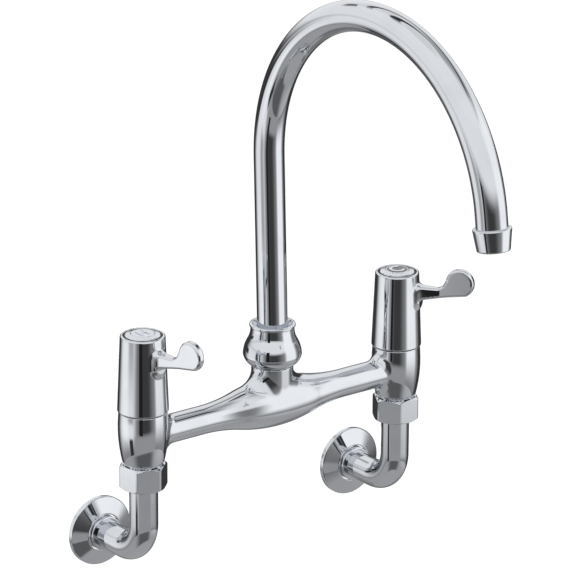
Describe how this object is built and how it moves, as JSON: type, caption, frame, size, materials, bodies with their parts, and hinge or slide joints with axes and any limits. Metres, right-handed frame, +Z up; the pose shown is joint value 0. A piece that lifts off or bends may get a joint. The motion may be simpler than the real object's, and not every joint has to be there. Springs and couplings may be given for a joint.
{
  "type": "wall mounted bridge kitchen faucet",
  "caption": "Chrome wall-mounted bridge kitchen mixer tap with swan-neck swivel spout, lever valve handles and cranked inlet legs with round wall flanges.",
  "frame": {"origin": "on the wall face, midway between the axes of the two inlets", "axes": "+X along the bridge towards the cold side, +Y into the wall, +Z up; the spout and levers reach out towards -Y"},
  "size_m": [0.2273, 0.2565, 0.3477],
  "materials": {
    "chrome": "polished",
    "satin_chrome": "satin",
    "brass": "machined",
    "rubber": "matte",
    "fibre": "matte pressed fibre",
    "ceramic": "lapped",
    "nylon": "matte",
    "steel": "plain"
  },
  "bodies": {
    "fixture": {"bridge_body": "chrome", "spout_collar": "chrome", "glide_ring": "nylon", "guide_ring": "nylon", "hot_wall_flange": "chrome", "hot_inlet_leg": "chrome", "hot_union_washer": "fibre", "hot_union_nut": "chrome", "hot_bonnet_washer": "rubber", "hot_valve_bonnet": "brass", "hot_fixed_disc": "ceramic", "hot_seat_seal": "rubber", "cold_wall_flange": "chrome", "cold_inlet_leg": "chrome", "cold_union_washer": "fibre", "cold_union_nut": "chrome", "cold_bonnet_washer": "rubber", "cold_valve_bonnet": "brass", "cold_fixed_disc": "ceramic", "cold_seat_seal": "rubber"},
    "hot_handle": {"hot_lever_handle": "chrome", "hot_index_cap": "satin_chrome", "hot_handle_screw": "steel", "hot_drive_bush": "nylon", "hot_valve_spindle": "brass", "hot_spindle_orings": "rubber", "hot_spindle_circlip": "steel", "hot_moving_disc": "ceramic"},
    "cold_handle": {"cold_lever_handle": "chrome", "cold_index_cap": "satin_chrome", "cold_handle_screw": "steel", "cold_drive_bush": "nylon", "cold_valve_spindle": "brass", "cold_spindle_orings": "rubber", "cold_spindle_circlip": "steel", "cold_moving_disc": "ceramic"},
    "spout": {"spout_tube": "chrome", "spout_tail": "brass", "spout_oring_low": "rubber", "spout_oring_high": "rubber", "spout_nozzle": "chrome", "nozzle_washer": "rubber", "flow_straightener": "nylon"}
  },
  "joints": [
    {"name": "hot_handle_turn", "type": "hinge", "parent": "fixture", "child": "hot_handle", "pos_m": [-0.09, -0.045, 0.087], "axis": [0, 0, 1], "range_deg": [-90, 0]},
    {"name": "cold_handle_turn", "type": "hinge", "parent": "fixture", "child": "cold_handle", "pos_m": [0.09, -0.045, 0.087], "axis": [0, 0, 1], "range_deg": [-42, 48]},
    {"name": "spout_swivel", "type": "hinge", "parent": "fixture", "child": "spout", "pos_m": [0, -0.045, 0.1045], "axis": [0, 0, 1], "range_deg": [-100, 100]}
  ]
}
